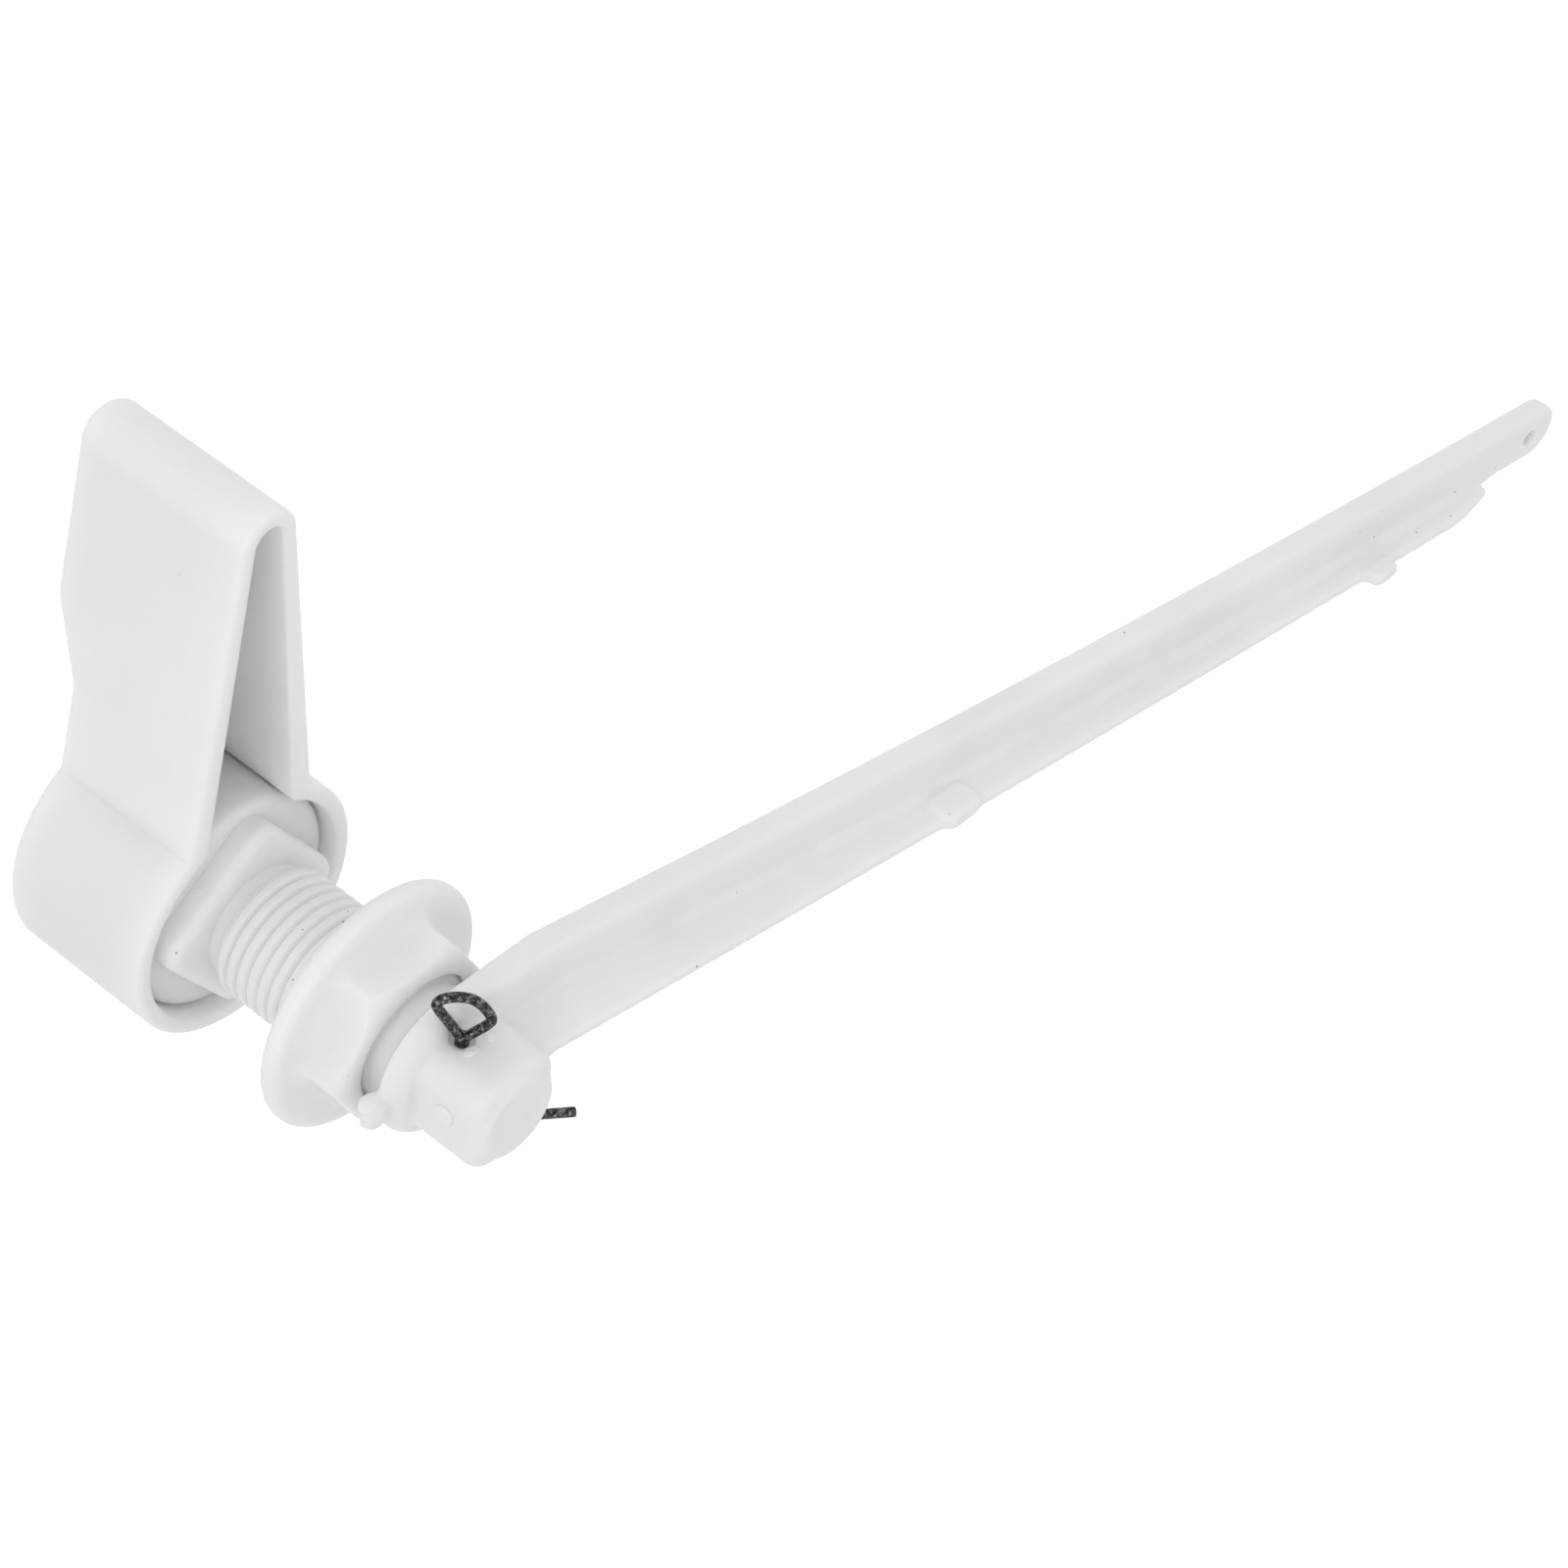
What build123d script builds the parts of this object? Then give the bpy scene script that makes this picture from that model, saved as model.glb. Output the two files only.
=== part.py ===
"""Cistern lever: handle, threaded bush, back nut, lever arm and split pin.

Millimetres, +Z up. The spindle lies along Y. The origin is on the spindle's axis, on the face of
the bush's square head that bears on the outside of the cistern wall. The handle is on the -Y side,
the inside of the cistern on the +Y side, and the lever arm runs towards -X.
"""
import os
from math import cos, radians, sin, sqrt

from build123d import *

os.makedirs("parts", exist_ok=True)

# Handle: hub and paddle
hub_d = 37.5             # outside of the round cup
hub_depth = 24.1         # cup rim to its front face
hub_wall = 2.4           # side wall of the cup
hub_floor = 3.2          # front wall of the cup
rim_setback = 1.6        # cup rim behind the face of the square head
paddle_top = 66.9        # top of the paddle above the spindle
paddle_root_half = 10.7  # half width where the paddle leaves the hub
paddle_tip_half = 4.6    # half width just below the rounded top
paddle_wall = 3.4        # side walls of the paddle at the hub
paddle_tip_wall = 2.3    # side walls at the top
paddle_front_wall = 2.8  # front wall of the paddle
pad_out = 4.5            # how far the finger pad stands out from the hub's front
pad_start = 28.0         # height at which the finger pad leaves the hub's front plane
pad_full = 39.5          # height at which the finger pad is fully out
pad_knee_r = 7.0         # rounding of the two bends of the finger pad
root_blend_r = 1.0       # rounding where the paddle's sides meet the hub
front_edge_r = 1.9       # rounding of the front edge, all round
back_edge_r = 0.8        # rounding of the back edge, all round
mouth_blend_r = 1.5      # rounding where the paddle's hollow opens into the cup
mouth_edge_r = 0.6       # rounding of the mouth of the hollows

# Spindle, moulded with the handle
spindle_d = 11.0         # round part, in the bush
spindle_square = 8.0     # square end, in the arm's socket
square_edge_r = 0.8      # rounding along the corners of the square end
spindle_root_d = 15.0    # thickened root on the floor of the cup
spindle_root_len = 5.0

# Threaded bush
thread_d = 19.05         # over the crests of the thread
thread_pitch = 1.814     # 14 turns to the inch, left hand
thread_depth = 0.9
crest_flat = 0.35        # width of the crests
root_flat = 0.35         # width of the bottom of the groove
thread_start = 2.2       # from the square head to the groove's start, on the +X side
neck_len = 2.0           # plain neck between the square head and the thread
barrel_len = 30.9        # from the face of the square head to the end of the thread
barrel_chamfer = 0.8
head_side = 22.4         # square head, across the flats
head_corner_r = 3.4
head_t = 3.8             # thickness of the square head
head_turn = 51.0         # turn of the square head about the spindle
head_edge_r = 0.5        # rounding of the face that bears on the wall
drum_gap = 1.3           # round body of the bush, clear of the cup's wall
drum_len = 13.4
drum_edge_r = 1.2

# Back nut
nut_flange_d = 36.2
nut_flange_t = 3.0
nut_flange_r = 1.3       # rounding of the flange's rim
nut_hex = 24.0           # across the flats
nut_height = 9.9
nut_turn = 57.0          # turn of the hexagon about the spindle
nut_corner_r = 1.0       # rounding of the hexagon's corners
nut_valley_r = 2.4       # rounding between the hexagon and the flange
nut_end_r = 3.4          # dome on the hexagon's corners at the outer end
nut_chamfer = 0.7        # countersink of the bore, on the flange's side
wall_gap = 18.5          # from the square head to the nut, where the cistern wall is clamped

# Lever arm: collar and boss
collar_d = 21.4
collar_t = 3.2
collar_edge_r = 2.8
collar_gap = 0.8         # end float between the end of the bush and the collar
boss_side = 14.2         # square boss that holds the spindle
boss_corner_r = 3.8
boss_len = 10.6
boss_edge_r = 2.0
socket_end = 2.4         # closed end of the boss

# Lever arm: the long L section
arm_len = 205.0          # from the spindle's axis to the tip
arm_top = 11.6           # top of the arm above the spindle
arm_height = 8.7
arm_bend_at = 15.2       # distance from the axis at which the arm turns away from the wall
arm_bend_r = 14.0        # rounding of that turn
arm_swing = 25.6         # how far the tip is carried away from the wall
arm_bow = 1.4            # bow of the long part, at its middle
web_t = 4.5              # upright web at the boss
web_tip_t = 4.1          # upright web at the tip
web_edge_r = 1.2         # rounding of the web's top edges
foot_t = 1.8             # foot of the L section
foot_root_w = 11.5       # whole width of the section at the boss
foot_end_w = 7.9         # whole width where the foot begins to run out
foot_end_in = 25.0       # from the tip to where it begins to run out
foot_stop_w = 5.9        # whole width at the end of the foot
foot_stop_in = 16.0      # from the tip to the end of the foot
foot_edge_r = 0.5        # rounding of the foot's outer edge
valley_r = 1.4           # rounding between the web and the foot
tip_top_r = 2.2
tip_bottom_r = 4.6
tip_rise = 0.7           # underside of the arm beyond the foot, above the foot's underside
link_hole_d = 2.6        # hole for the link or chain at the tip
link_hole_in = 5.2       # from the tip to the hole
link_hole_down = 3.9     # from the top of the arm to the hole
rest_len = 7.2           # raised pad on the foot
rest_wide = 5.0
rest_height = 0.8        # above the foot
rest_over = 0.9          # beyond the foot's outer edge
rest_corner_r = 1.6
rest_x = 79.4            # distance from the axis to the middle of the pad
nub_len = 5.2            # small nub on the edge of the foot
nub_wide = 3.0
nub_height = 0.4         # above the foot
nub_over = 1.9           # beyond the foot's outer edge
nub_corner_r = 1.2
nub_in = 42.5            # from the tip to the middle of the nub

# Split pin
pin_d = 1.9
pin_in = 1.4             # from the collar's front to the pin's axis
pin_side = 0.9           # pin's axis beside the spindle's axis
wire_d = 1.4             # wire of the eye and the bent legs
eye_w = 7.0              # width of the eye, middle to middle of the wire
eye_h = 8.8              # height of the eye above the boss, along its lean
eye_start = 1.0          # straight shank above the boss, where the eye begins
eye_turn = 137.0         # direction of the eye, from +X towards +Y
eye_lean = 6.0           # lean of the eye from upright, away from the collar
leg_drop = 0.8           # from the underside of the boss to the bent legs
leg_len = 15.7           # the longer bent leg
leg_turn = 142.8         # its direction, from +X towards +Y
short_leg = 2.6          # the other leg, cut short
short_turn = 35.0        # its direction, from +X towards +Y

# Fits
spindle_clear = 0.08     # spindle in the bush, on the radius
thread_clear = 0.08      # nut on the thread, on the radius
socket_clear = 0.05      # square end in the arm's socket, each side
pin_clear = 0.05         # split pin in its hole, on the radius
end_clear = 0.4          # spindle's shoulder and end, clear of the arm

# Places along the spindle
rim_y = -rim_setback
front_y = rim_y - hub_depth
floor_y = front_y + hub_floor
pad_y = front_y - pad_out
drum_face_y = -head_t
drum_back_y = drum_face_y - drum_len
nut_y = wall_gap
nut_end_y = nut_y + nut_height
collar_y = barrel_len + collar_gap
boss_y = collar_y + collar_t
boss_end_y = boss_y + boss_len
socket_y = boss_end_y - socket_end
pin_y = boss_y + pin_in
drum_d = hub_d - 2 * hub_wall - 2 * drum_gap


def across(y):
    """Plane at a place along the spindle: local x is +X, local y is +Z, facing -Y."""
    return Plane(origin=(0, y, 0), x_dir=(1, 0, 0), z_dir=(0, -1, 0))


def turned(points):
    """Solid of revolution about the spindle, from (radius, y) points."""
    return revolve(make_face(Polyline(*points, close=True)), Axis.Y)


def rod(y0, y1, radius):
    """Plain round bar along the spindle."""
    return turned([(0, y0), (radius, y0), (radius, y1), (0, y1)])


# Handle: outside of the hub and the paddle
side_plane = Plane(origin=(0, 0, 0), x_dir=(0, 1, 0), z_dir=(1, 0, 0))
hub_r = hub_d / 2
tip_z = paddle_top - paddle_tip_half
root_z = sqrt(hub_r**2 - paddle_root_half**2)


def paddle_outline(tip, root):
    """Paddle seen along the spindle, from its half widths; it starts at the hub's middle."""
    foot = tip + (root - tip) * tip_z / (tip_z - root_z)
    sides = Polyline((-tip, tip_z), (-foot, 0), (foot, 0), (tip, tip_z))
    return make_face([sides, ThreePointArc((tip, tip_z), (0, tip_z + tip), (-tip, tip_z))])


def paddle_side(inset, top):
    """Paddle seen from the side, with the finger pad; the inset is the front wall's thickness."""
    outline = Polyline(
        (rim_y + 1, 0),
        (front_y + inset, 0),
        (front_y + inset, pad_start),
        (pad_y + inset, pad_full),
        (pad_y + inset, top),
        (rim_y + 1, top),
        close=True,
    )
    face = make_face(outline)
    knees = [v for v in face.vertices() if pad_start - 1 < v.Y < pad_full + 1 and v.X < rim_y]
    return fillet(knees, pad_knee_r)


def along(edge, axis):
    """True for a straight edge that runs along an axis."""
    return edge.geom_type == GeomType.LINE and abs(edge.tangent_at(0.5).dot(axis)) > 0.999


reach = hub_depth + pad_out + 2
outline = extrude(across(rim_y) * paddle_outline(paddle_tip_half, paddle_root_half), reach)
paddle = outline & extrude(side_plane * paddle_side(0, paddle_top + 1), hub_d, both=True)
handle = rod(front_y, rim_y, hub_r) + paddle
corners = [e for e in handle.edges() if along(e, Vector(0, 1, 0)) and 0.1 < e.center().Z < tip_z - 1]
handle = fillet(corners, root_blend_r)
front_rim = [e for e in handle.edges() if e.bounding_box().max.Y < rim_y - hub_depth / 2
             and not along(e, Vector(1, 0, 0))]
handle = fillet(front_rim, front_edge_r)
back_rim = [e for e in handle.edges() if e.bounding_box().min.Y > rim_y - 0.01]
handle = fillet(back_rim, back_edge_r)

# Handle: hollows
cup = rod(floor_y, rim_y + 1, hub_r - hub_wall)
hollow_sides = paddle_outline(paddle_tip_half - paddle_tip_wall, paddle_root_half - paddle_wall)
hollow = extrude(across(rim_y + 1) * hollow_sides, reach)
hollow &= extrude(side_plane * paddle_side(paddle_front_wall, paddle_top + 1), hub_d, both=True)
handle -= cup
handle -= hollow
inner_corners = [e for e in handle.edges() if along(e, Vector(0, 1, 0)) and e.center().Y > floor_y
                 and 0.1 < e.center().Z < tip_z - paddle_tip_half and abs(e.center().X) < hub_r - hub_wall]
handle = fillet(inner_corners, mouth_blend_r)
rim = [f for f in handle.faces() if abs(f.center().Y - rim_y) < 0.01][0]
handle = fillet(rim.inner_wires()[0].edges(), mouth_edge_r)

# Spindle
spindle_r = spindle_d / 2
shoulder_y = collar_y - end_clear
handle += rod(floor_y - 1, floor_y + spindle_root_len, spindle_root_d / 2)
handle += rod(floor_y - 1, shoulder_y, spindle_r)
square_len = socket_y - end_clear - shoulder_y
square = RectangleRounded(spindle_square, spindle_square, square_edge_r)
handle += extrude(across(socket_y - end_clear) * square, square_len + 1)
pin_hole = Pos(pin_side, pin_y, 0) * Cylinder(pin_d / 2 + pin_clear, 3 * boss_side)
handle -= pin_hole

# Threaded bush
drum = rod(drum_back_y, drum_face_y, drum_d / 2)
drum = fillet(drum.edges().filter_by(GeomType.CIRCLE).sort_by(Axis.Y)[-1], drum_edge_r)
square_head = Rot(0, 0, head_turn) * RectangleRounded(head_side, head_side, head_corner_r)
crest_r = thread_d / 2
root_r = crest_r - thread_depth
chamfer_y = barrel_len - barrel_chamfer
barrel = turned([(0, drum_face_y), (root_r, drum_face_y), (root_r, neck_len),
                 (crest_r, neck_len + thread_depth), (crest_r, chamfer_y),
                 (crest_r - barrel_chamfer, barrel_len), (0, barrel_len)])
flank = (thread_pitch - crest_flat - root_flat) / 2
groove_half = root_flat / 2 + 1.1 * flank
groove_top = root_r + 1.1 * thread_depth
groove = make_face(Polyline((root_r, -root_flat / 2), (root_r, root_flat / 2), (groove_top, groove_half),
                            (groove_top, -groove_half), close=True))
helix_len = barrel_len - thread_start + thread_pitch
helix = Helix(pitch=thread_pitch, height=helix_len, radius=root_r, lefthand=True)
groove = sweep(Plane.XZ * groove, path=helix, is_frenet=True)
barrel -= Pos(0, thread_start, 0) * Rot(-90, 0, 0) * groove
head = extrude(across(0) * square_head, head_t)
head = fillet(head.faces().sort_by(Axis.Y)[-1].edges(), head_edge_r)
bush = drum + head + barrel
bush -= rod(drum_back_y - 1, barrel_len + 1, spindle_r + spindle_clear)

# Back nut
flange = rod(nut_y, nut_y + nut_flange_t, nut_flange_d / 2)
flange = fillet(flange.edges().filter_by(GeomType.CIRCLE), nut_flange_r)
hexagon = RegularPolygon(nut_hex / 2, 6, major_radius=False, rotation=nut_turn)
hexagon = fillet(hexagon.vertices(), nut_corner_r)
corner_r = nut_hex / 2 / cos(radians(30))
dome = rod(nut_y, nut_end_y, corner_r)
dome = fillet(dome.edges().filter_by(GeomType.CIRCLE).sort_by(Axis.Y)[-1], nut_end_r)
nut = flange + (extrude(across(nut_end_y) * hexagon, nut_height - nut_flange_t / 2) & dome)
flange_y = nut_y + nut_flange_t
foot_edges = [e for e in nut.edges() if e.geom_type == GeomType.LINE and abs(e.center().Y - flange_y) < 0.01]
nut = fillet(foot_edges, nut_valley_r)
bore_r = thread_d / 2 + thread_clear
nut -= rod(nut_y - 1, nut_end_y + 1, bore_r)
near_y = nut_y + nut_chamfer
nut -= turned([(0, nut_y), (bore_r + nut_chamfer, nut_y), (bore_r, near_y), (0, near_y)])

# Lever arm: the L section, from outlines seen from above
arm_bottom = arm_top - arm_height
foot_top = arm_bottom + foot_t
long_len = arm_len - arm_bend_at
root_x = boss_side / 2
foot_end_x = arm_len - foot_end_in
foot_stop_x = arm_len - foot_stop_in
nub_x = arm_len - nub_in


def far_y(x):
    """Back face of the arm at a distance x from the spindle's axis."""
    t = max(x - arm_bend_at, 0) / long_len
    return collar_y + arm_swing * t + 4 * arm_bow * t * (1 - t)


def web_y(x):
    """Front face of the upright web at a distance x from the spindle's axis."""
    return far_y(x) + web_t + (web_tip_t - web_t) * max(x - arm_bend_at, 0) / long_len


def foot_y(x):
    """Outer edge of the foot at a distance x from the spindle's axis."""
    t = (x - root_x) / (foot_end_x - root_x)
    return far_y(x) + foot_root_w + (foot_end_w - foot_root_w) * t


mid_x = (arm_bend_at + arm_len) / 2
web_outline = make_face([
    Line((-1, collar_y), (-arm_bend_at, collar_y)),
    ThreePointArc((-arm_bend_at, collar_y), (-mid_x, far_y(mid_x)), (-arm_len, far_y(arm_len))),
    Line((-arm_len, far_y(arm_len)), (-arm_len, web_y(arm_len))),
    ThreePointArc((-arm_len, web_y(arm_len)), (-mid_x, web_y(mid_x)), (-arm_bend_at, collar_y + web_t)),
    Polyline((-arm_bend_at, collar_y + web_t), (-root_x, collar_y + web_t), (-1, collar_y + 0.9 * collar_t),
             (-1, collar_y)),
])
bends = [v for v in web_outline.vertices() if -arm_bend_at - 0.1 < v.X < -1.1]
web_outline = fillet(bends, arm_bend_r)
foot_mid = (root_x + foot_end_x) / 2
inside = web_t / 2
foot_root_y = foot_y(root_x)
stop_y = far_y(foot_stop_x) + foot_stop_w
run_out_x = (foot_end_x + foot_stop_x) / 2
run_out_y = (2 * foot_y(foot_end_x) + stop_y) / 3
foot_outline = make_face([
    Line((-1, collar_y + inside), (-arm_bend_at, collar_y + inside)),
    ThreePointArc((-arm_bend_at, collar_y + inside), (-mid_x, far_y(mid_x) + inside),
                  (-foot_stop_x, far_y(foot_stop_x) + inside)),
    Line((-foot_stop_x, far_y(foot_stop_x) + inside), (-foot_stop_x, stop_y)),
    ThreePointArc((-foot_stop_x, stop_y), (-run_out_x, run_out_y), (-foot_end_x, foot_y(foot_end_x))),
    ThreePointArc((-foot_end_x, foot_y(foot_end_x)), (-foot_mid, foot_y(foot_mid)), (-root_x, foot_root_y)),
    Polyline((-root_x, foot_root_y), (-1, foot_root_y), (-1, collar_y + inside)),
])
web = extrude(Pos(0, 0, arm_bottom) * web_outline, arm_height)
rise_x = foot_stop_x + 3 * tip_rise
tip_bottom = arm_bottom + tip_rise
tip = make_face(Polyline((0, arm_bottom), (0, arm_top), (-arm_len, arm_top), (-arm_len, tip_bottom),
                         (-rise_x, tip_bottom), (-foot_stop_x, arm_bottom), close=True))
tip = fillet(tip.vertices().sort_by(Axis.X)[:2].sort_by(Axis.Y)[-1], tip_top_r)
tip = fillet(tip.vertices().sort_by(Axis.X)[:2].sort_by(Axis.Y)[0], tip_bottom_r)
web &= extrude(across(2 * boss_end_y) * tip, 2 * boss_end_y)
foot = extrude(Pos(0, 0, arm_bottom) * foot_outline, foot_t)


def under(edge, z):
    """True for an edge that lies level at a height."""
    box = edge.bounding_box()
    return abs(box.min.Z - z) < 0.01 and abs(box.max.Z - z) < 0.01


foot_rim = [e for e in foot.edges() if under(e, foot_top) and e.center().Y > web_y(-e.center().X) + 1
            and e.length > long_len / 2]
foot = fillet(foot_rim, foot_edge_r)
long_arm = web + foot
valley = [e for e in long_arm.edges() if under(e, foot_top)
          and collar_y + 1 < e.center().Y < web_y(-e.center().X) + 0.7 and e.length > 1
          and not along(e, Vector(0, 1, 0))]
long_arm = fillet(valley, valley_r)
top_edges = [e for e in long_arm.edges() if under(e, arm_top) and not along(e, Vector(0, 1, 0))]
long_arm = fillet(top_edges, web_edge_r)

# Lever arm: raised pad, nub and link hole on the long part


def raised(x, length, width, over, corner_r, height):
    """Rounded block on the outer edge of the foot, standing a little over it."""
    place = Pos(-x, foot_y(x) + over - width / 2, arm_bottom)
    block = extrude(place * RectangleRounded(length, width, corner_r), foot_t + height)
    return fillet(block.faces().sort_by(Axis.Z)[-1].edges(), 0.6 * height)


long_arm += raised(rest_x, rest_len, rest_wide, rest_over, rest_corner_r, rest_height)
long_arm += raised(nub_x, nub_len, nub_wide, nub_over, nub_corner_r, nub_height)
link_x = arm_len - link_hole_in
link_hole = Rot(90, 0, 0) * Cylinder(link_hole_d / 2, 4 * web_t)
long_arm -= Pos(-link_x, far_y(link_x), arm_top - link_hole_down) * link_hole

# Lever arm: collar, boss and socket
collar = rod(collar_y, boss_y, collar_d / 2)
collar = fillet(collar.edges().filter_by(GeomType.CIRCLE).sort_by(Axis.Y)[-1], collar_edge_r)
boss = extrude(across(boss_end_y) * RectangleRounded(boss_side, boss_side, boss_corner_r), boss_len + 1)
boss = fillet(boss.faces().sort_by(Axis.Y)[-1].edges(), boss_edge_r)
arm = collar + boss + long_arm
socket = spindle_square + 2 * socket_clear
arm -= extrude(across(socket_y) * RectangleRounded(socket, socket, square_edge_r), socket_y - collar_y + 1)
arm -= pin_hole

# Split pin: straight shank, eye above the boss, legs bent aside below it
boss_top = boss_side / 2
legs_z = -boss_top - leg_drop
shank_end = legs_z - 0.55 * wire_d
shank_len = boss_top + eye_start - shank_end


def wire(path):
    """Round wire along a path."""
    return sweep((path ^ 0) * Circle(wire_d / 2), path)


def leg(turn, length):
    """Straight wire that leaves the bottom of the shank sideways."""
    end = (pin_side + length * cos(radians(turn)), pin_y + length * sin(radians(turn)), legs_z)
    return wire(Line((pin_side, pin_y, legs_z), end))


turn = radians(eye_turn)
lean = radians(eye_lean)
eye_x = Vector(cos(turn), sin(turn), 0)
eye_up = Vector(sin(lean) * sin(turn), -sin(lean) * cos(turn), cos(lean))
eye_plane = Plane(origin=(pin_side, pin_y, boss_top), x_dir=eye_x, z_dir=eye_x.cross(eye_up))
eye_path = FilletPolyline(
    (0, 0.3 * eye_start),
    (0.48 * eye_w, 0.40 * eye_h),
    (0.35 * eye_w, 0.69 * eye_h),
    (0.12 * eye_w, 0.95 * eye_h),
    (-0.17 * eye_w, eye_h),
    (-0.45 * eye_w, 0.94 * eye_h),
    (-0.53 * eye_w, 0.78 * eye_h),
    radius=0.75 * wire_d,
    close=True,
)
pin = Pos(pin_side, pin_y, shank_end + shank_len / 2) * Cylinder(pin_d / 2, shank_len)
pin += wire(eye_plane * eye_path)
pin += leg(leg_turn, leg_len)
pin += leg(short_turn, short_leg)

export_step(handle, "parts/handle.step")
export_step(bush, "parts/bush.step")
export_step(nut, "parts/back_nut.step")
export_step(arm, "parts/lever_arm.step")
export_step(pin, "parts/split_pin.step")
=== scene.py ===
"""Looks of the cistern lever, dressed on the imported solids. Metres, in the solids' own frame."""
import math

import bpy
from mathutils import Matrix, Vector


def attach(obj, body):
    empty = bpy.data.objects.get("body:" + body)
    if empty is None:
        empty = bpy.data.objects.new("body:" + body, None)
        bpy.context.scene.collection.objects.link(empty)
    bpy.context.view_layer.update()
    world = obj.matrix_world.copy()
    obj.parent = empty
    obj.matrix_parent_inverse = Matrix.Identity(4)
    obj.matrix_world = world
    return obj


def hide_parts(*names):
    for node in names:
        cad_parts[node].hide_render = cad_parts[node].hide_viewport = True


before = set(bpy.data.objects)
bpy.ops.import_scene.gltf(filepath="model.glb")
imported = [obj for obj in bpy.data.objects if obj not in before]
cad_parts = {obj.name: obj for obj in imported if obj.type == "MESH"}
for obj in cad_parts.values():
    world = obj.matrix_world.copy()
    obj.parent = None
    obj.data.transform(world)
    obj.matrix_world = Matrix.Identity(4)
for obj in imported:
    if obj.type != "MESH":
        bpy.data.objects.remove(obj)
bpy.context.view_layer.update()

MM = 0.001

# Sizes of the pieces are in millimetres and their angles in degrees

# Thread of the bush
THREAD_R = 9.525
PITCH = 1.814
THREAD_DEPTH = 0.9
GROOVE_START = 2.2
THREAD_END = 27.3
# Height over the root, as a share of the depth, from the root up to the crest
THREAD_RISE = (0.0, 0.16, 0.60, 0.88, 0.955, 0.985, 0.997, 1.0)
THREAD_STEPS = 96
# Turns made, and how many of them lie past the start of the groove
THREAD_TURNS = 26
TURNS_PAST = 20
THREAD_CUTS = (-4.0, 31.6)

# Barrel of the bush
NECK_END = 2.0
NECK_SINK = 0.45
BARREL_END = 30.9
PLAIN_END_R = 8.3
BORE_R = 5.58
# Keeps two faces that would fall together apart
SKIN = 0.003

# Square head and drum of the bush
HEAD_SIDE = 22.4
HEAD_CORNER = 3.4
HEAD_T = 3.8
HEAD_TURN = 51.0
HEAD_EDGE = 1.7
HEAD_SINK = 0.4
RIDGE_WIDE = 0.24
RIDGE_SHORT = 1.2
RIDGE_ALONG = -0.6
DRUM_R = 16.05
DRUM_WIDE_R = 16.25
DRUM_FRONT = -3.8
DRUM_BACK = -17.2

# Arm
BOSS_TOP = 7.1
ARM_START = -8.5
ARM_LOW_PART = 3.75
ARM_SMOOTHS = 14
# The rim and shallow dish on the end of the boss, as (radius, y)
END_RIM = [
    (0, 42), (6.9, 42), (6.9, 43.9), (6.75, 44.9), (6.35, 45.6), (5.8, 46.0), (5.2, 46.0),
    (4.3, 45.7), (3.0, 45.45), (0, 45.4),
]
# Lumps: middle, half sizes, unevenness, seed
GATE_STUB = ((11.6, 32.4, -1.2), (2.1, 1.6, 2.7), 0.3, 4)
GATE_CHIP = ((12.1, 32.1, 0.6), (2.0, 1.4, 0.9), 0.15, 7)
FLASH_FRONT = ((1.45, 38.4, 7.0), (1.25, 0.7, 0.45), 0.1, 2)
FLASH_SIDE = ((-1.9, 38.3, 7.0), (0.7, 0.85, 0.4), 0.1, 3)
DOT_MIDDLE = (7.1, 40.0, 1.1)
DOT_R = 1.4
DOT_HEIGHT = 0.55

# Split pin
PIN_X = 0.9
PIN_Y = 36.3
PIN_RECESS_R = 1.7
PIN_RECESS_LOW = 6.65
PIN_RECESS_HIGH = 8.65
WIRE_R = 0.7
SHANK_R = 0.95
SHANK_TOP = 8.1
SHANK_LOW = -8.67
LEGS_Z = -7.9
# Direction and length of each leg
LEGS = ((142.8, 15.7), (35.0, 2.6))
EYE_TURN = 137.0
EYE_LEAN = 6.0
EYE_CUTS = 6
# The eye seen flat: across and up from the top of the boss
EYE_LINE = [
    (0, 0.3), (1.9, 2.15), (3.05, 3.45), (3.30, 4.35), (2.75, 5.75), (1.75, 7.30), (0.40, 8.45),
    (-1.19, 8.8), (-2.75, 8.50), (-3.55, 7.75), (-3.55, 6.70), (-2.2, 4.2), (0, 0.3),
]

# How far edges are melted: grain of the remesh, rounds of smoothing
NUT_MELT = (0.25, 3)
ARM_MELT = (0.34, 5)
PIN_MELT = (0.14, 4)
# Edges sharper than this stay sharp in the shading
BUSH_SHARP = 40
ARM_SHARP = 35

# Meshing, in metres
SAME_POINT = 1e-6
SAME_AFTER_CUTS = 2e-6
CUT_EXACT = 1e-7
ROUND_SIDES = 48

# Colours
WHITE = (0.87, 0.87, 0.865)
HANDLE_WHITE = (0.88, 0.88, 0.875)

# Floor, light and camera, in metres
FLOOR_SIZE = 8.0
FLOOR_Z = -0.075
FLOOR_PAINT = 0.86
FLOOR_SHADOW = 0.40
FLOOR_GLOW = 0.72
STUDIO_LIGHT = 0.84
STUDIO_SHOWN = 1.0
KEY_PLACE = (1.15, 0.35, 0.4)
KEY_TARGET = (-0.07, 0.02, 0.01)
KEY_SIZE = 1.2
KEY_POWER = 2.3
LENS = 108.0
CAMERA_PLACE = (0.30676, 0.28092, 0.43349)
CAMERA_RIGHT = (-0.64760, 0.75148, 0.12605)
CAMERA_UP = (-0.46942, -0.52377, 0.71085)
CAMERA_BACK = (0.60021, 0.40118, 0.69195)


# Hand work


def take(obj):
    """Makes one object the only selected one and the active one."""
    if bpy.context.mode != "OBJECT":
        bpy.ops.object.mode_set(mode="OBJECT")
    bpy.ops.object.select_all(action="DESELECT")
    obj.select_set(True)
    bpy.context.view_layer.objects.active = obj


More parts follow.
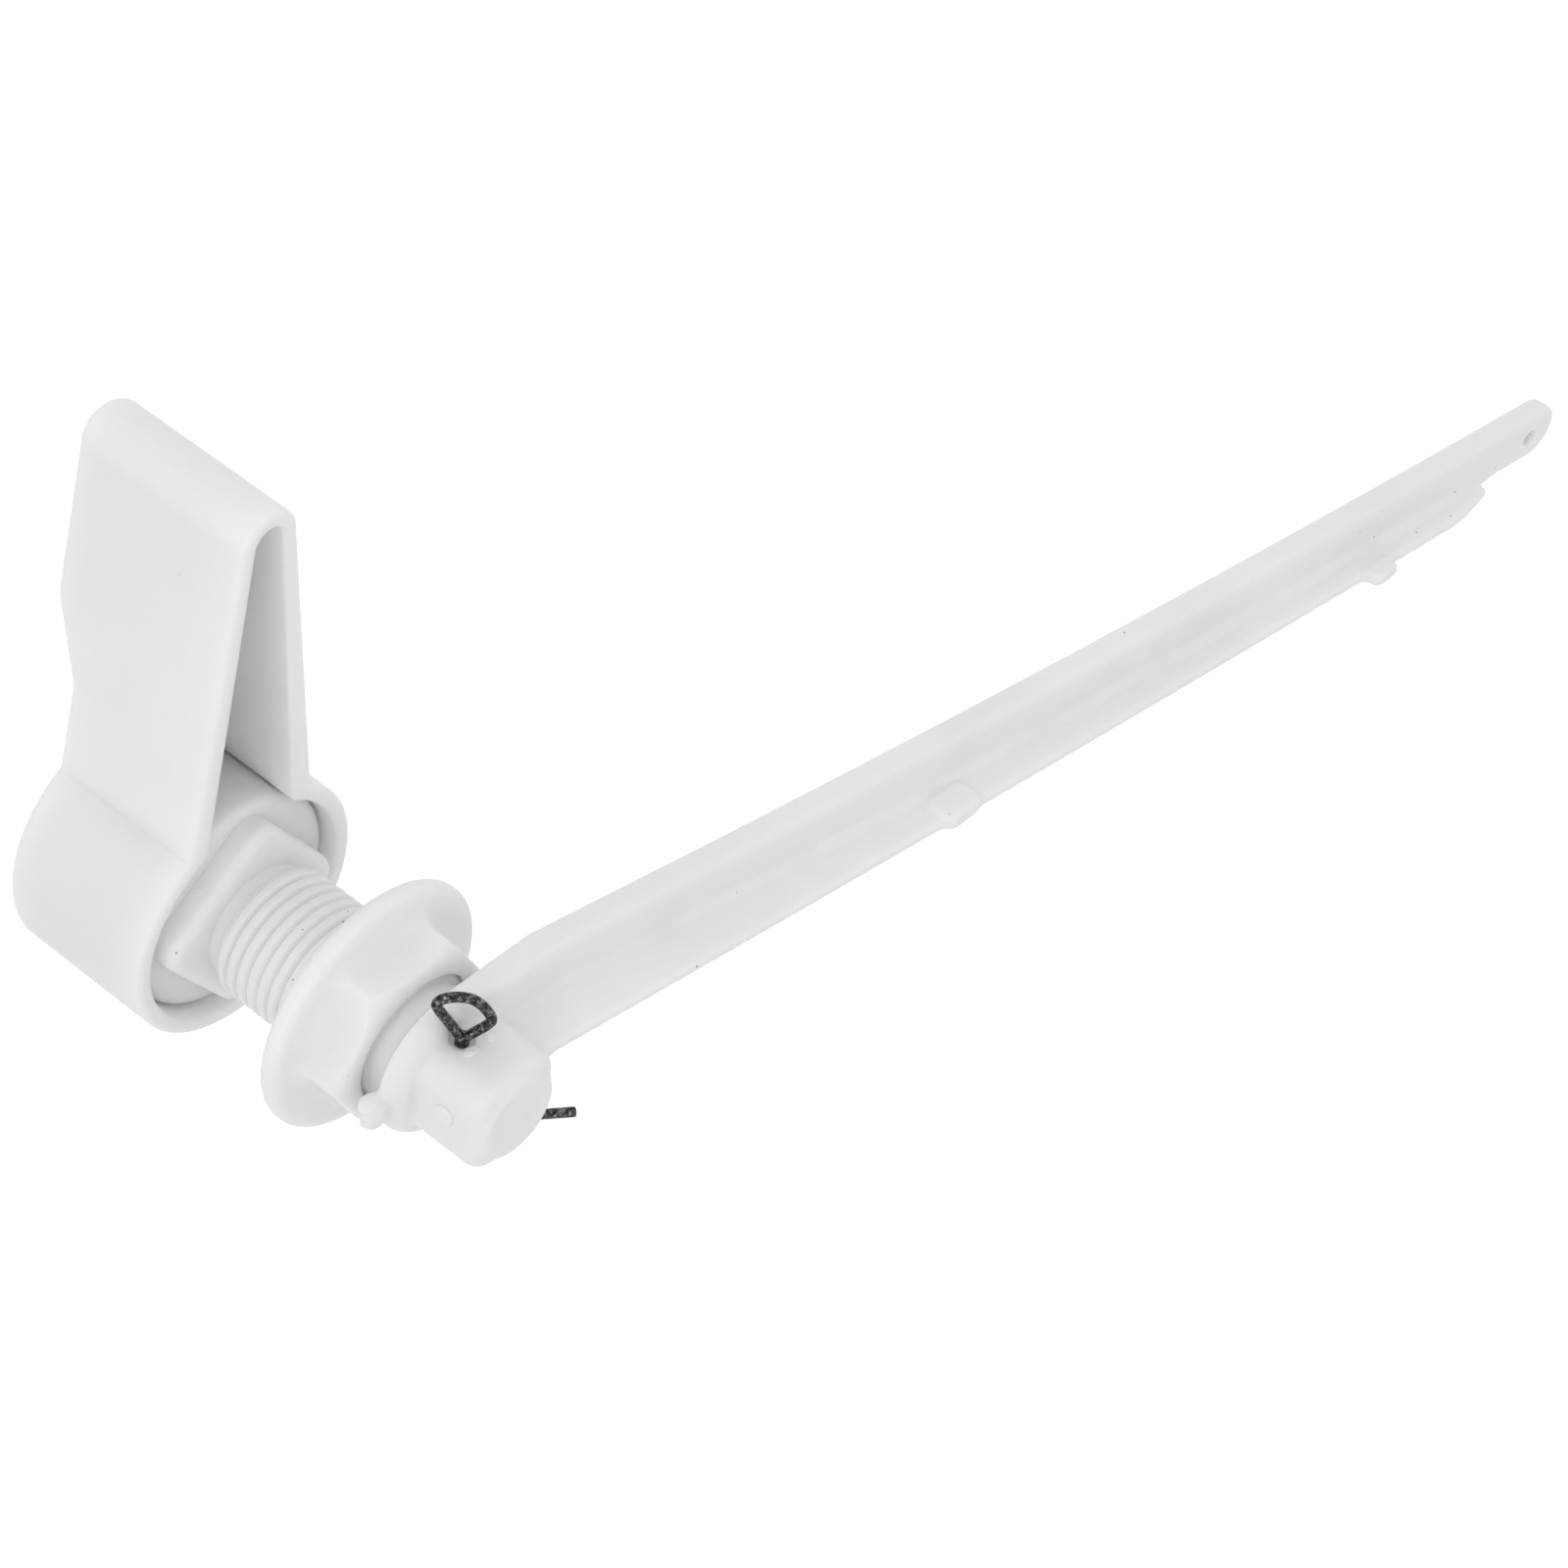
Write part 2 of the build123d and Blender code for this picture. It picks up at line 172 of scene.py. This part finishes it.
def edit(obj):
    """Opens one object in edit mode with everything in it selected."""
    take(obj)
    bpy.ops.object.mode_set(mode="EDIT")
    bpy.ops.mesh.select_mode(type="VERT")
    bpy.ops.mesh.select_all(action="SELECT")


def done():
    bpy.ops.object.mode_set(mode="OBJECT")


def pick(obj, kind, wanted):
    """Opens one object in edit mode with only the wanted vertices, edges or faces selected."""
    edit(obj)
    bpy.ops.mesh.select_mode(type=kind)
    bpy.ops.mesh.select_all(action="DESELECT")
    done()
    mesh = obj.data
    for item in {"VERT": mesh.vertices, "EDGE": mesh.edges, "FACE": mesh.polygons}[kind]:
        item.select = wanted(item)
    bpy.ops.object.mode_set(mode="EDIT")


def add(name, primitive, **settings):
    """Adds a primitive by its operator and names it."""
    bpy.ops.object.select_all(action="DESELECT")
    primitive(**settings)
    obj = bpy.context.object
    obj.name = name
    return obj


def shift(step):
    """Moves what is selected by a step in millimetres."""
    bpy.ops.transform.translate(value=tuple(c * MM for c in step))


def drawn(name, points):
    """A line through (radius, y) or (x, y, z) points in millimetres, by extruding one vertex."""
    obj = add(name, bpy.ops.mesh.primitive_plane_add, size=MM)
    edit(obj)
    bpy.ops.mesh.merge(type="CENTER")
    here = Vector((0, 0, 0))
    for number, point in enumerate(points):
        there = Vector((*point, 0)[:3]) * MM
        step = tuple(there - here)
        if number == 0:
            bpy.ops.transform.translate(value=step)
        else:
            bpy.ops.mesh.extrude_vertices_move(TRANSFORM_OT_translate={"value": step})
        here = there
    done()
    return obj


def turned(name, points, steps=128):
    """A closed turned shape: the line through the points, spun once round the spindle."""
    obj = drawn(name, points)
    edit(obj)
    bpy.ops.mesh.spin(steps=steps, angle=math.tau, center=(0, 0, 0), axis=(0, 1, 0))
    bpy.ops.mesh.select_all(action="SELECT")
    bpy.ops.mesh.remove_doubles(threshold=SAME_POINT)
    bpy.ops.mesh.normals_make_consistent(inside=False)
    done()
    return obj


def upright(name, radius, low, high):
    """A round bar on the pin's line, between two heights."""
    obj = add(name, bpy.ops.mesh.primitive_cylinder_add, vertices=ROUND_SIDES,
              radius=radius * MM, depth=(high - low) * MM)
    edit(obj)
    shift((PIN_X, PIN_Y, (high + low) / 2))
    done()
    return obj


def apply_modifier(obj, kind, **settings):
    """Adds a modifier with these settings and applies it."""
    take(obj)
    modifier = obj.modifiers.new(kind.title(), kind)
    for key, value in settings.items():
        setattr(modifier, key, value)
    bpy.ops.object.modifier_apply(modifier=modifier.name)


def combine(obj, tool, operation):
    """Joins, cuts or keeps what two closed shapes share, then drops the tool."""
    apply_modifier(obj, "BOOLEAN", object=tool, operation=operation, solver="EXACT")
    mesh = tool.data
    bpy.data.objects.remove(tool)
    bpy.data.meshes.remove(mesh)


def join(obj, others):
    """Puts other objects' meshes into one object."""
    take(obj)
    for other in others:
        other.select_set(True)
    bpy.ops.object.join()


def cast(node, name):
    """A merged copy of a solid's mesh, to be worked on as a new piece."""
    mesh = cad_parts[node].data.copy()
    mesh.materials.clear()
    obj = bpy.data.objects.new(name, mesh)
    bpy.context.scene.collection.objects.link(obj)
    edit(obj)
    bpy.ops.mesh.customdata_custom_splitnormals_clear()
    bpy.ops.mesh.remove_doubles(threshold=SAME_AFTER_CUTS)
    done()
    return obj


def soften(obj, grain, rounds):
    """Melts a closed shape's sharp edges, as a moulding's are, by remeshing and smoothing it."""
    apply_modifier(obj, "REMESH", mode="VOXEL", voxel_size=grain * MM, use_smooth_shade=True)
    apply_modifier(obj, "SMOOTH", factor=0.5, iterations=rounds)


def shade(obj, sharp):
    """Smooth shading, with the sharp edges kept."""
    take(obj)
    bpy.ops.object.shade_smooth_by_angle(angle=math.radians(sharp))


def finish_piece(obj, body, node, material):
    """Sets a piece on its body in place of a solid, with its finish."""
    take(obj)
    obj.data.materials.clear()
    obj.data.materials.append(material)
    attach(obj, body)
    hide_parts(node)


# Finishes


def emptied(owner):
    """The node tree of a material or a world, with nothing in it."""
    owner.use_nodes = True
    owner.node_tree.nodes.clear()
    return owner.node_tree


def nodes_of(name):
    """A new material with one plain shader, and its tree."""
    material = bpy.data.materials.new(name)
    tree = emptied(material)
    out = tree.nodes.new("ShaderNodeOutputMaterial")
    shader = tree.nodes.new("ShaderNodeBsdfPrincipled")
    tree.links.new(shader.outputs["BSDF"], out.inputs["Surface"])
    return material, tree, shader


def noise(tree, coords, scale, detail=4.0, rough=0.55, distortion=0.0):
    node = tree.nodes.new("ShaderNodeTexNoise")
    node.inputs["Scale"].default_value = scale
    node.inputs["Detail"].default_value = detail
    node.inputs["Roughness"].default_value = rough
    node.inputs["Distortion"].default_value = distortion
    tree.links.new(coords, node.inputs["Vector"])
    return node.outputs["Fac"]


def ramp(tree, value, stops):
    """Colours by a value, from (value, colour) stops."""
    node = tree.nodes.new("ShaderNodeValToRGB")
    elements = node.color_ramp.elements
    while len(elements) < len(stops):
        elements.new(0.5)
    for element, (at, colour) in zip(elements, stops):
        element.position = at
        element.color = (*colour, 1.0)
    tree.links.new(value, node.inputs["Fac"])
    return node.outputs["Color"]


def span(tree, value, low, high, to_low, to_high):
    """Takes a value from one range to another."""
    node = tree.nodes.new("ShaderNodeMapRange")
    node.inputs["From Min"].default_value = low
    node.inputs["From Max"].default_value = high
    node.inputs["To Min"].default_value = to_low
    node.inputs["To Max"].default_value = to_high
    tree.links.new(value, node.inputs["Value"])
    return node.outputs["Result"]


def mixed(tree, factor, first, second):
    """One colour over another, by a factor."""
    node = tree.nodes.new("ShaderNodeMix")
    node.data_type = "RGBA"
    tree.links.new(factor, node.inputs[0])
    tree.links.new(first, node.inputs[6])
    tree.links.new(second, node.inputs[7])
    return node.outputs[2]


def bumped(tree, height, distance, strength, under=None):
    """Fine relief from a height, on top of other relief if there is some."""
    node = tree.nodes.new("ShaderNodeBump")
    node.inputs["Distance"].default_value = distance
    node.inputs["Strength"].default_value = strength
    tree.links.new(height, node.inputs["Height"])
    if under is not None:
        tree.links.new(under, node.inputs["Normal"])
    return node.outputs["Normal"]


def moulded_white(name, tint, ripple, glow, glow_depth):
    """White moulded plastic: faint clouding, a few moulding specks, a satin skin with fine grain.

    Light goes into the plastic: glow is the share that does, and glow_depth how far, in metres.
    """
    material, tree, shader = nodes_of(name)
    place = tree.nodes.new("ShaderNodeTexCoord").outputs["Object"]
    clouds = noise(tree, place, 55.0, 3.0, 0.5)
    base = ramp(tree, clouds, [
        (0.30, tuple(0.965 * c for c in tint)),
        (0.55, tint),
        (0.75, tuple(min(1.0, 1.02 * c) for c in tint)),
    ])
    cells = tree.nodes.new("ShaderNodeTexVoronoi")
    cells.inputs["Scale"].default_value = 300.0
    cells.inputs["Randomness"].default_value = 1.0
    tree.links.new(place, cells.inputs["Vector"])
    spots = span(tree, cells.outputs["Distance"], 0.035, 0.055, 1.0, 0.0)
    chosen = span(tree, noise(tree, place, 90.0, 1.0), 0.56, 0.60, 0.0, 0.85)
    both = tree.nodes.new("ShaderNodeMath")
    both.operation = "MULTIPLY"
    tree.links.new(spots, both.inputs[0])
    tree.links.new(chosen, both.inputs[1])
    dark = ramp(tree, clouds, [(0.0, (0.20, 0.19, 0.18)), (1.0, (0.32, 0.31, 0.29))])
    tree.links.new(mixed(tree, both.outputs[0], base, dark), shader.inputs["Base Color"])
    sheen = noise(tree, place, 420.0, 4.0, 0.6)
    tree.links.new(span(tree, sheen, 0.25, 0.75, 0.36, 0.50), shader.inputs["Roughness"])
    grain = noise(tree, place, 2600.0, 3.0, 0.6)
    flow = noise(tree, place, 160.0, 3.0, 0.5, 0.6)
    skin = bumped(tree, flow, 0.00010, ripple)
    tree.links.new(bumped(tree, grain, 0.00002, 0.5, skin), shader.inputs["Normal"])
    shader.inputs["IOR"].default_value = 1.46
    shader.inputs["Specular IOR Level"].default_value = 0.42
    shader.inputs["Subsurface Weight"].default_value = glow
    shader.inputs["Subsurface Radius"].default_value = (1.0, 0.95, 0.9)
    shader.inputs["Subsurface Scale"].default_value = glow_depth
    return material


def dark_wire(name):
    """Dark steel wire: fine upright streaks, dull oxide, and brighter spots painted in as glints
    of reflected light.
    """
    material, tree, shader = nodes_of(name)
    place = tree.nodes.new("ShaderNodeTexCoord").outputs["Object"]
    stretch = tree.nodes.new("ShaderNodeMapping")
    stretch.inputs["Scale"].default_value = (1.0, 1.0, 0.18)
    tree.links.new(place, stretch.inputs["Vector"])
    streaks = noise(tree, stretch.outputs["Vector"], 2600.0, 3.0, 0.6)
    oxide_and_glints = noise(tree, place, 2000.0, 4.0, 0.65)
    # Dull oxide in the darker stops; the lightest stops are painted highlights, brighter spots
    # standing in for glints reflected off the wire
    base = ramp(tree, oxide_and_glints, [
        (0.36, (0.010, 0.010, 0.011)),
        (0.50, (0.050, 0.050, 0.052)),
        (0.60, (0.20, 0.20, 0.20)),
        (0.74, (0.52, 0.52, 0.52)),
    ])
    tree.links.new(base, shader.inputs["Base Color"])
    tree.links.new(span(tree, oxide_and_glints, 0.3, 0.8, 0.42, 0.22), shader.inputs["Roughness"])
    tree.links.new(bumped(tree, streaks, 0.00003, 0.8), shader.inputs["Normal"])
    shader.inputs["Metallic"].default_value = 0.85
    return material


# Threaded bush


def thread_line():
    """One turn of the thread, root to root, with its corners eased, as (radius, y) points."""
    rises = THREAD_RISE + THREAD_RISE[-2::-1]
    last = len(rises) - 1
    return [(THREAD_R - THREAD_DEPTH * (1 - rise), i / last * PITCH)
            for i, rise in enumerate(rises)]


def trim(y, outward):
    """Cuts off what lies past a plane across the spindle, and closes the cut."""
    bpy.ops.mesh.select_all(action="SELECT")
    bpy.ops.mesh.bisect(plane_co=(0, y * MM, 0), plane_no=(0, outward, 0), clear_outer=True,
                        use_fill=True, threshold=CUT_EXACT)


def make_thread():
    """A long rod with the thread on it, closed at both ends."""
    rod = drawn("bush_moulding", thread_line())
    apply_modifier(rod, "SCREW", axis="Y", angle=math.tau, steps=THREAD_STEPS,
                   render_steps=THREAD_STEPS, screw_offset=-PITCH * MM, iterations=THREAD_TURNS,
                   use_merge_vertices=True, merge_threshold=SAME_POINT, use_normal_calculate=True)
    # The line was drawn on +X, where the groove starts
    edit(rod)
    shift((0, GROOVE_START + TURNS_PAST * PITCH, 0))
    bpy.ops.mesh.remove_doubles(threshold=SAME_POINT)
    low, high = THREAD_CUTS
    trim(low, -1)
    trim(high, 1)
    bpy.ops.mesh.select_all(action="SELECT")
    bpy.ops.mesh.normals_make_consistent(inside=False)
    done()
    return rod


def make_drum():
    """The round body inside the cup, with a soft front edge."""
    return turned("drum", [
        (0, DRUM_BACK), (DRUM_WIDE_R - 0.5, DRUM_BACK), (DRUM_WIDE_R - 0.15, DRUM_BACK + 0.15),
        (DRUM_WIDE_R, DRUM_BACK + 0.5), (DRUM_WIDE_R, -7.5), (DRUM_R + 0.1, -6.2),
        (DRUM_R, -5.2), (DRUM_R - 0.15, -4.6), (DRUM_R - 0.5, -4.1), (DRUM_R - 1.0, -3.86),
        (DRUM_R - 1.5, DRUM_FRONT), (0, DRUM_FRONT),
    ])


def parting_ridge():
    """The fine line that the mould's joint leaves across the side of the square head."""
    turn = math.radians(HEAD_TURN)
    out = HEAD_SIDE / 2
    ridge = add("parting_ridge", bpy.ops.mesh.primitive_cube_add, size=MM)
    edit(ridge)
    bpy.ops.transform.resize(value=(RIDGE_WIDE, HEAD_T - RIDGE_SHORT, RIDGE_WIDE))
    shift((out * math.cos(turn) - RIDGE_ALONG * math.sin(turn),
           -(HEAD_T + RIDGE_SHORT) / 2,
           out * math.sin(turn) + RIDGE_ALONG * math.cos(turn)))
    done()
    return ridge


def make_head():
    """The square head, sunk a little into the drum, with its corners and front edge rounded."""
    deep = HEAD_T + HEAD_SINK
    head = add("head", bpy.ops.mesh.primitive_cube_add, size=MM, location=(0, -deep / 2 * MM, 0))
    edit(head)
    bpy.ops.transform.resize(value=(HEAD_SIDE, deep, HEAD_SIDE))

    def runs_along_spindle(edge):
        start, end = (head.data.vertices[i].co for i in edge.vertices)
        return abs(start.y - end.y) > MM

    pick(head, "EDGE", runs_along_spindle)
    bpy.ops.mesh.bevel(offset=HEAD_CORNER * MM, segments=12, affect="EDGES")
    pick(head, "FACE", lambda face: face.normal.y > 0.99)
    bpy.ops.mesh.region_to_loop()
    bpy.ops.mesh.bevel(offset=HEAD_EDGE * MM, segments=9, affect="EDGES")
    bpy.ops.mesh.select_all(action="SELECT")
    bpy.ops.transform.rotate(value=math.radians(HEAD_TURN), orient_axis="Y",
                             center_override=(0, 0, 0))
    done()
    take(head)
    bpy.ops.object.transform_apply(location=True, rotation=True, scale=True)
    combine(head, parting_ridge(), "UNION")
    return head


def make_bush():
    bush = make_thread()
    neck = THREAD_R - THREAD_DEPTH - NECK_SINK
    lead = NECK_END + THREAD_DEPTH
    envelope = turned("envelope", [
        (0, -3), (neck, -3), (neck, NECK_END - 0.5), (neck + 0.25, NECK_END - 0.1),
        (THREAD_R - 0.25, lead - 0.2), (THREAD_R - 0.03, lead + 0.2),
        (THREAD_R - 0.03, THREAD_END), (PLAIN_END_R, THREAD_END + 0.7),
        (PLAIN_END_R, BARREL_END - 0.3), (PLAIN_END_R - 0.3, BARREL_END), (0, BARREL_END),
    ])
    combine(bush, envelope, "INTERSECT")
    plain_end = turned("plain_end", [
        (0, THREAD_END), (PLAIN_END_R - 0.6, THREAD_END),
        (PLAIN_END_R + SKIN, THREAD_END + 0.6), (PLAIN_END_R + SKIN, BARREL_END - 0.25),
        (PLAIN_END_R - 0.25, BARREL_END + SKIN), (0, BARREL_END + SKIN),
    ])
    combine(bush, plain_end, "UNION")
    drum = make_drum()
    combine(drum, make_head(), "UNION")
    combine(bush, drum, "UNION")
    bore = turned("bore", [
        (0, DRUM_BACK - 1), (BORE_R, DRUM_BACK - 1), (BORE_R, BARREL_END + 1), (0, BARREL_END + 1),
    ])
    combine(bush, bore, "DIFFERENCE")
    edit(bush)
    bpy.ops.mesh.remove_doubles(threshold=SAME_AFTER_CUTS)
    bpy.ops.mesh.dissolve_degenerate(threshold=SAME_POINT)
    bpy.ops.mesh.delete_loose()
    done()
    shade(bush, BUSH_SHARP)
    return bush


# Back nut


def make_nut():
    nut = cast("back_nut", "nut_moulding")
    soften(nut, *NUT_MELT)
    return nut


# Lever arm, with the marks its mould leaves


def blob(name, middle, half, rough, seed):
    """A small lump of plastic: a ball of these half sizes with an uneven skin, in millimetres."""
    obj = add(name, bpy.ops.mesh.primitive_ico_sphere_add, subdivisions=3, radius=MM)
    edit(obj)
    bpy.ops.transform.resize(value=half)
    bpy.ops.transform.vertex_random(offset=rough * MM, uniform=0.0, normal=0.6, seed=seed)
    shift(middle)
    done()
    return obj


def raised_dot(name, middle, radius, height):
    """A flat round mark standing on the boss's +X face."""
    obj = add(name, bpy.ops.mesh.primitive_cylinder_add, vertices=ROUND_SIDES,
              radius=radius * MM, depth=2 * height * MM)
    pick(obj, "FACE", lambda face: face.normal.z > 0.9)
    bpy.ops.mesh.region_to_loop()
    bpy.ops.mesh.bevel(offset=0.5 * height * MM, segments=4, affect="EDGES")
    bpy.ops.mesh.select_all(action="SELECT")
    bpy.ops.transform.rotate(value=math.radians(-90), orient_axis="Y", center_override=(0, 0, 0))
    shift(middle)
    done()
    return obj


def make_arm():
    arm = cast("lever_arm", "arm_moulding")
    join(arm, [
        turned("end_rim", END_RIM, 64),
        blob("gate_stub", *GATE_STUB),
        blob("gate_chip", *GATE_CHIP),
    ])
    soften(arm, *ARM_MELT)
    # The remesh leaves small waves along the arm's lower part
    pick(arm, "VERT",
         lambda point: point.co.x < ARM_START * MM and point.co.z < ARM_LOW_PART * MM)
    bpy.ops.mesh.vertices_smooth(factor=0.5, repeat=ARM_SMOOTHS)
    done()
    combine(arm, raised_dot("ejector_dot", DOT_MIDDLE, DOT_R, DOT_HEIGHT), "UNION")
    combine(arm, blob("pin_flash_front", *FLASH_FRONT), "UNION")
    combine(arm, blob("pin_flash_side", *FLASH_SIDE), "UNION")
    # A shallow round sinking in the top of the boss, round the pin's hole
    recess = upright("pin_recess", PIN_RECESS_R, PIN_RECESS_LOW, PIN_RECESS_HIGH)
    combine(arm, recess, "DIFFERENCE")
    shade(arm, ARM_SHARP)
    return arm


# Split pin


def between(t, p, q, r, s):
    """The place a share t of the way from q to r on a smooth line through four numbers."""
    return (q + t * (r - p) / 2
            + t ** 2 * (2 * p - 5 * q + 4 * r - s) / 2
            + t ** 3 * (3 * q - p - 3 * r + s) / 2)


def eased(points, cuts):
    """A smooth line through the points, as wire bends."""
    ends = [points[0], *points, points[-1]]
    line = []
    for four in zip(ends, ends[1:], ends[2:], ends[3:]):
        for i in range(cuts):
            line.append(tuple(between(i / cuts, *numbers) for numbers in zip(*four)))
    return [*line, points[-1]]


def wire(name, points):
    """Round wire along a line of points, in millimetres."""
    take(drawn(name, points))
    bpy.ops.object.convert(target="CURVE")
    obj = bpy.context.object
    obj.data.dimensions = "3D"
    obj.data.fill_mode = "FULL"
    obj.data.bevel_depth = WIRE_R * MM
    obj.data.bevel_resolution = 6
    obj.data.use_fill_caps = True
    bpy.ops.object.convert(target="MESH")
    return bpy.context.object


def level(direction):
    """A step of one along the floor, in a direction in degrees."""
    angle = math.radians(direction)
    return Vector((math.cos(angle), math.sin(angle), 0))


def make_pin():
    turn, lean = math.radians(EYE_TURN), math.radians(EYE_LEAN)
    across = level(EYE_TURN)
    up = Vector((math.sin(lean) * math.sin(turn), -math.sin(lean) * math.cos(turn),
                 math.cos(lean)))
    foot = Vector((PIN_X, PIN_Y, BOSS_TOP))
    eye = [foot + u * across + v * up for u, v in eased(EYE_LINE, EYE_CUTS)]
    pin = wire("split_pin_wire", eye)
    start = Vector((PIN_X, PIN_Y, LEGS_Z))
    legs = [wire("leg", [start, start + length * level(direction)]) for direction, length in LEGS]
    join(pin, [*legs, upright("shank", SHANK_R, SHANK_LOW, SHANK_TOP)])
    soften(pin, *PIN_MELT)
    return pin


# Pieces in their finishes

handle_white = moulded_white("handle_white_plastic", HANDLE_WHITE, 0.35, 0.9, 0.0045)
bush_white = moulded_white("bush_white_plastic", WHITE, 0.2, 0.8, 0.003)
nut_white = moulded_white("nut_white_plastic", WHITE, 0.35, 0.8, 0.003)
arm_white = moulded_white("arm_white_plastic", WHITE, 0.35, 0.5, 0.0012)
pin_dark = dark_wire("dark_split_pin_steel")

finish_piece(make_bush(), "bush", "bush", bush_white)
finish_piece(make_nut(), "nut", "back_nut", nut_white)
finish_piece(make_arm(), "lever", "lever_arm", arm_white)
finish_piece(make_pin(), "lever", "split_pin", pin_dark)

handle_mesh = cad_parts["handle"].data
handle_mesh.materials.clear()
handle_mesh.materials.append(handle_white)


# Floor, light and camera


def grey(level_of_white):
    return (level_of_white, level_of_white, level_of_white, 1)


def direct_rays(tree):
    """1 for rays that show the background itself: seen, mirrored or through glass."""
    path = tree.nodes.new("ShaderNodeLightPath")
    total = path.outputs["Is Camera Ray"]
    for name in ("Is Glossy Ray", "Is Transmission Ray"):
        either = tree.nodes.new("ShaderNodeMath")
        either.operation = "MAXIMUM"
        tree.links.new(total, either.inputs[0])
        tree.links.new(path.outputs[name], either.inputs[1])
        total = either.outputs[0]
    return total


def by_rays(tree, out, lighting, shown):
    """One shader lights the part, and the other is what rays that show the background meet."""
    choice = tree.nodes.new("ShaderNodeMixShader")
    tree.links.new(direct_rays(tree), choice.inputs[0])
    tree.links.new(lighting.outputs[0], choice.inputs[1])
    tree.links.new(shown.outputs[0], choice.inputs[2])
    tree.links.new(choice.outputs[0], out.inputs["Surface"])


def make_stage():
    floor = add("floor", bpy.ops.mesh.primitive_plane_add, size=FLOOR_SIZE,
                location=(0, 0, FLOOR_Z))
    material = bpy.data.materials.new("pale_floor")
    tree = emptied(material)
    out = tree.nodes.new("ShaderNodeOutputMaterial")
    paint = tree.nodes.new("ShaderNodeBsdfDiffuse")
    paint.inputs["Color"].default_value = grey(FLOOR_PAINT)
    shadowed = tree.nodes.new("ShaderNodeBsdfDiffuse")
    shadowed.inputs["Color"].default_value = grey(FLOOR_SHADOW)
    glow = tree.nodes.new("ShaderNodeEmission")
    glow.inputs["Strength"].default_value = FLOOR_GLOW
    seen = tree.nodes.new("ShaderNodeAddShader")
    tree.links.new(shadowed.outputs[0], seen.inputs[0])
    tree.links.new(glow.outputs[0], seen.inputs[1])
    by_rays(tree, out, paint, seen)
    floor.data.materials.append(material)


def make_world():
    world = bpy.data.worlds.new("white_studio")
    bpy.context.scene.world = world
    tree = emptied(world)
    out = tree.nodes.new("ShaderNodeOutputWorld")
    light = tree.nodes.new("ShaderNodeBackground")
    light.inputs["Strength"].default_value = STUDIO_LIGHT
    shown = tree.nodes.new("ShaderNodeBackground")
    shown.inputs["Strength"].default_value = STUDIO_SHOWN
    for node in (light, shown):
        node.inputs["Color"].default_value = grey(1)
    by_rays(tree, out, light, shown)


def soft_box(name, place, target, size, power):
    """A round soft light at a place, facing a target."""
    data = bpy.data.lights.new(name, "AREA")
    data.shape = "DISK"
    data.size = size
    data.energy = power
    lamp = bpy.data.objects.new(name, data)
    lamp.location = place
    facing = Vector(target) - Vector(place)
    lamp.rotation_euler = facing.to_track_quat("-Z", "Y").to_euler()
    bpy.context.scene.collection.objects.link(lamp)


def make_camera():
    """The photograph's view: a long lens, looking down on the inside of the cistern."""
    data = bpy.data.cameras.new("camera")
    data.sensor_width = 36.0
    data.lens = LENS
    data.clip_start = 0.01
    data.clip_end = 50.0
    camera = bpy.data.objects.new("camera", data)
    turn = Matrix((CAMERA_RIGHT, CAMERA_UP, CAMERA_BACK)).transposed().to_4x4()
    camera.matrix_world = Matrix.Translation(CAMERA_PLACE) @ turn
    bpy.context.scene.collection.objects.link(camera)
    bpy.context.scene.camera = camera


make_stage()
make_world()
soft_box("key", KEY_PLACE, KEY_TARGET, KEY_SIZE, KEY_POWER)
make_camera()
bpy.context.scene.view_settings.view_transform = "Standard"
